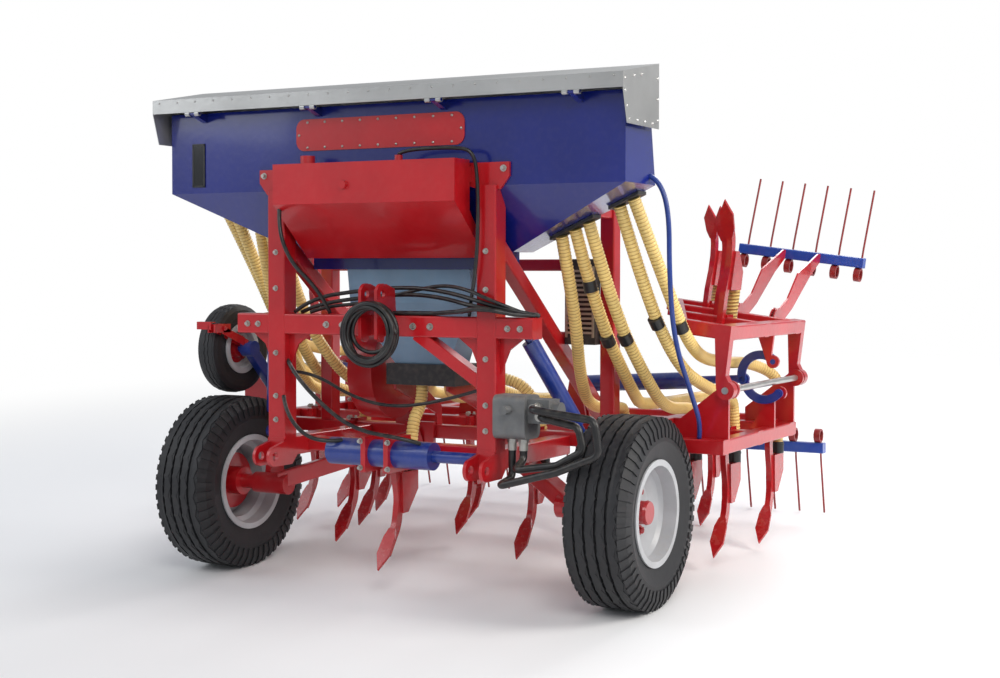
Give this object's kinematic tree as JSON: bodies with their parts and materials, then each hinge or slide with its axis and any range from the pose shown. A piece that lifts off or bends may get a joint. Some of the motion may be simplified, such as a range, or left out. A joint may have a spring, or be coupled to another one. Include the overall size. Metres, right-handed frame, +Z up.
{
  "type": "farm_machinery/seed_drill",
  "caption": "Mounted pneumatic seed drill on a folding chisel-tine cultivator frame, wings folded, with hopper, carrying wheels and following harrow.",
  "frame": {"origin": "on the ground under the middle of its outline", "axes": "+X is the right of the picture, which is the left-hand side for a driver looking forward; +Y is rearward, away from the tractor; +Z is up"},
  "size_m": [2.8072, 2.4952, 2.118],
  "materials": {
    "red_paint": "semi-gloss",
    "blue_paint": "semi-gloss",
    "grey_paint": "satin",
    "light_blue": "satin",
    "lid_metal": "satin",
    "bright_steel": "satin",
    "dark_steel": "rough",
    "cast": "rough",
    "black_plastic": "matte",
    "tyre_rubber": "matte",
    "deep_blue": "semi-gloss",
    "hose_yellow": "satin",
    "black_rubber": "satin"
  },
  "bodies": {
    "frame": {"centre_harrow_bar": "blue_paint", "centre_harrow_tines": "red_paint", "centre_tines": "red_paint", "distributor_stand": "red_paint", "fan_housing": "red_paint", "fold_rams": "blue_paint", "frame_links": "blue_paint", "front_tube": "blue_paint", "head_hoses": "black_rubber", "headstock": "red_paint", "hinge_rods": "bright_steel", "hopper_body": "deep_blue", "hopper_plaque": "red_paint", "hopper_stand": "red_paint", "hose_plates": "black_plastic", "injector_box": "black_plastic", "land_arm": "blue_paint", "main_frame": "red_paint", "metering_funnel": "light_blue", "oil_cooler": "dark_steel", "oil_tank": "red_paint", "post_heads": "red_paint", "pump_gearbox": "cast", "pump_hoses": "black_rubber", "seed_hoses": "hose_yellow", "top_link_bracket": "red_paint", "tube_saddles": "red_paint", "wheel_arms": "red_paint", "wheel_rams": "blue_paint"},
    "wheel_left": {"wheel_hub_left": "red_paint", "wheel_rim_left": "grey_paint", "wheel_tyre_left": "tyre_rubber"},
    "wheel_right": {"wheel_hub_right": "red_paint", "wheel_rim_right": "grey_paint", "wheel_tyre_right": "tyre_rubber"},
    "wing_left": {"wing_frame_left": "red_paint", "wing_hoses_left": "hose_yellow", "wing_link_left": "blue_paint", "wing_tines_left": "red_paint"},
    "wing_right": {"wing_frame_right": "red_paint", "wing_hoses_right": "hose_yellow", "wing_link_right": "blue_paint", "wing_tines_right": "red_paint"},
    "harrow_left": {"wing_harrow_arms_left": "red_paint", "wing_harrow_bar_left": "blue_paint", "wing_harrow_tines_left": "red_paint"},
    "harrow_right": {"wing_harrow_arms_right": "red_paint", "wing_harrow_bar_right": "blue_paint", "wing_harrow_tines_right": "red_paint"},
    "lid": {"hopper_lid": "lid_metal"},
    "land_wheel": {"land_rim": "grey_paint", "land_tyre": "tyre_rubber"}
  },
  "joints": [
    {"name": "wheel_left_spin", "type": "hinge", "parent": "frame", "child": "wheel_left", "pos_m": [-0.988, -0.85104, 0.38], "axis": [1, 0, 0], "continuous": true},
    {"name": "wheel_right_spin", "type": "hinge", "parent": "frame", "child": "wheel_right", "pos_m": [0.988, -0.85104, 0.38], "axis": [1, 0, 0], "continuous": true},
    {"name": "wing_left_fold", "type": "hinge", "parent": "frame", "child": "wing_left", "pos_m": [-1.245, 0.01522, 0.77918], "axis": [0, -0.9974, 0.0726], "range_deg": [0, 173]},
    {"name": "wing_right_fold", "type": "hinge", "parent": "frame", "child": "wing_right", "pos_m": [1.245, 0.01522, 0.77918], "axis": [0, 0.9974, -0.0726], "range_deg": [0, 173]},
    {"name": "harrow_left_swing", "type": "hinge", "parent": "wing_left", "child": "harrow_left", "pos_m": [-1.12573, 0.51378, 1.00306], "axis": [-0.9925, -0.0088, -0.1215], "range_deg": [0, 17]},
    {"name": "harrow_right_swing", "type": "hinge", "parent": "wing_right", "child": "harrow_right", "pos_m": [1.12573, 0.51378, 1.00306], "axis": [-0.9925, 0.0088, 0.1215], "range_deg": [0, 17]},
    {"name": "hopper_lid_hinge", "type": "hinge", "parent": "frame", "child": "lid", "pos_m": [0, -1.09125, 2.01174], "axis": [1, 0, 0], "range_deg": [0, 75]},
    {"name": "land_wheel_spin", "type": "hinge", "parent": "frame", "child": "land_wheel", "pos_m": [-1.072, -0.69068, 0.95789], "axis": [1, 0, 0], "continuous": true}
  ]
}
